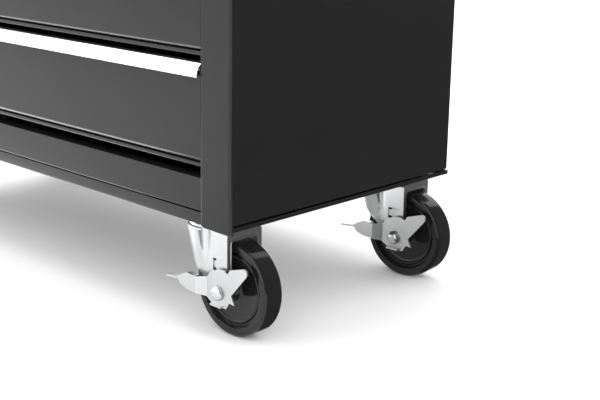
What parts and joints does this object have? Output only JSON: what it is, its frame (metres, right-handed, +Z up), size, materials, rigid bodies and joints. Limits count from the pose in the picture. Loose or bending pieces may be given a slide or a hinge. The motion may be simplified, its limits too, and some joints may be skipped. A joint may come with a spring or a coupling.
{
  "type": "tool cart",
  "caption": "Rolling steel tool cart with full-width drawers on ball slides, bright edge pulls, a side push handle and braked swivel casters.",
  "frame": {"origin": "on the floor, under the middle of the cart's box", "axes": "+X to the handle end, along the width; +Y to the back; +Z up; the drawers open towards -Y"},
  "size_m": [0.9826, 0.451, 0.7873],
  "materials": {
    "paint": "satin black powder coat",
    "aluminium": "bright satin extrusion",
    "slide_steel": "plain plated steel",
    "zinc": "bright zinc plate",
    "chrome": "polished",
    "wheel": "glossy black moulding"
  },
  "bodies": {
    "cabinet": {"side_panel_right": "paint", "side_panel_left": "paint", "inner_wall_right": "paint", "inner_wall_left": "paint", "back_panel": "paint", "base_pan": "paint", "bottom_rail": "paint", "top_rail": "paint", "top_panel": "paint", "handle_bar": "chrome", "handle_bracket_front": "paint", "handle_bracket_rear": "paint", "slide_rail_right_1": "slide_steel", "slide_rail_left_1": "slide_steel", "slide_rail_right_2": "slide_steel", "slide_rail_left_2": "slide_steel", "slide_rail_right_3": "slide_steel", "slide_rail_left_3": "slide_steel", "slide_rail_right_4": "slide_steel", "slide_rail_left_4": "slide_steel", "caster_plate_front": "zinc", "caster_plate_rear": "zinc", "kingpin_front": "zinc", "kingpin_rear": "zinc", "rigid_bracket_front": "zinc", "rigid_bracket_rear": "zinc", "rigid_axle_front": "zinc", "rigid_axle_rear": "zinc"},
    "drawer_1": {"drawer_front_1": "paint", "drawer_tray_1": "paint", "drawer_pull_1": "aluminium", "slide_runner_right_1": "slide_steel", "slide_runner_left_1": "slide_steel"},
    "drawer_2": {"drawer_front_2": "paint", "drawer_tray_2": "paint", "drawer_pull_2": "aluminium", "slide_runner_right_2": "slide_steel", "slide_runner_left_2": "slide_steel"},
    "drawer_3": {"drawer_front_3": "paint", "drawer_tray_3": "paint", "drawer_pull_3": "aluminium", "slide_runner_right_3": "slide_steel", "slide_runner_left_3": "slide_steel"},
    "drawer_4": {"drawer_front_4": "paint", "drawer_tray_4": "paint", "drawer_pull_4": "aluminium", "slide_runner_right_4": "slide_steel", "slide_runner_left_4": "slide_steel"},
    "lock": {"lock_cylinder": "chrome"},
    "swivel_front": {"swivel_fork_front": "zinc", "swivel_axle_front": "zinc"},
    "right_wheel_front": {"swivel_wheel_front": "wheel"},
    "brake_lever_front": {"brake_front": "zinc"},
    "left_wheel_front": {"rigid_wheel_front": "wheel"},
    "swivel_rear": {"swivel_fork_rear": "zinc", "swivel_axle_rear": "zinc"},
    "right_wheel_rear": {"swivel_wheel_rear": "wheel"},
    "brake_lever_rear": {"brake_rear": "zinc"},
    "left_wheel_rear": {"rigid_wheel_rear": "wheel"}
  },
  "joints": [
    {"name": "drawer_1_slide", "type": "slide", "parent": "cabinet", "child": "drawer_1", "axis": [0, -1, 0], "range_m": [0, 0.3]},
    {"name": "drawer_2_slide", "type": "slide", "parent": "cabinet", "child": "drawer_2", "axis": [0, -1, 0], "range_m": [0, 0.3]},
    {"name": "drawer_3_slide", "type": "slide", "parent": "cabinet", "child": "drawer_3", "axis": [0, -1, 0], "range_m": [0, 0.3]},
    {"name": "drawer_4_slide", "type": "slide", "parent": "cabinet", "child": "drawer_4", "axis": [0, -1, 0], "range_m": [0, 0.3]},
    {"name": "lock_turn", "type": "hinge", "parent": "cabinet", "child": "lock", "pos_m": [-0.0322, -0.21505, 0.73], "axis": [0, 1, 0], "range_deg": [0, 90]},
    {"name": "swivel_front_turn", "type": "hinge", "parent": "cabinet", "child": "swivel_front", "pos_m": [0.3522, -0.17005, 0.149], "axis": [0, 0, 1], "continuous": true},
    {"name": "right_wheel_front_spin", "type": "hinge", "parent": "swivel_front", "child": "right_wheel_front", "pos_m": [0.3932, -0.17005, 0.0635], "axis": [0, 1, 0], "continuous": true},
    {"name": "brake_front_press", "type": "hinge", "parent": "swivel_front", "child": "brake_lever_front", "pos_m": [0.3932, -0.17005, 0.0635], "axis": [0, -1, 0], "range_deg": [0, 18]},
    {"name": "swivel_rear_turn", "type": "hinge", "parent": "cabinet", "child": "swivel_rear", "pos_m": [0.3522, 0.17595, 0.149], "axis": [0, 0, 1], "continuous": true},
    {"name": "right_wheel_rear_spin", "type": "hinge", "parent": "swivel_rear", "child": "right_wheel_rear", "pos_m": [0.39313, 0.17831, 0.0635], "axis": [-0.0576, 0.9983, 0], "continuous": true},
    {"name": "brake_rear_press", "type": "hinge", "parent": "swivel_rear", "child": "brake_lever_rear", "pos_m": [0.39313, 0.17831, 0.0635], "axis": [0.0576, -0.9983, 0], "range_deg": [0, 18]},
    {"name": "left_wheel_front_spin", "type": "hinge", "parent": "cabinet", "child": "left_wheel_front", "pos_m": [-0.4166, -0.17005, 0.0635], "axis": [0, 1, 0], "continuous": true},
    {"name": "left_wheel_rear_spin", "type": "hinge", "parent": "cabinet", "child": "left_wheel_rear", "pos_m": [-0.4166, 0.17595, 0.0635], "axis": [0, 1, 0], "continuous": true}
  ]
}
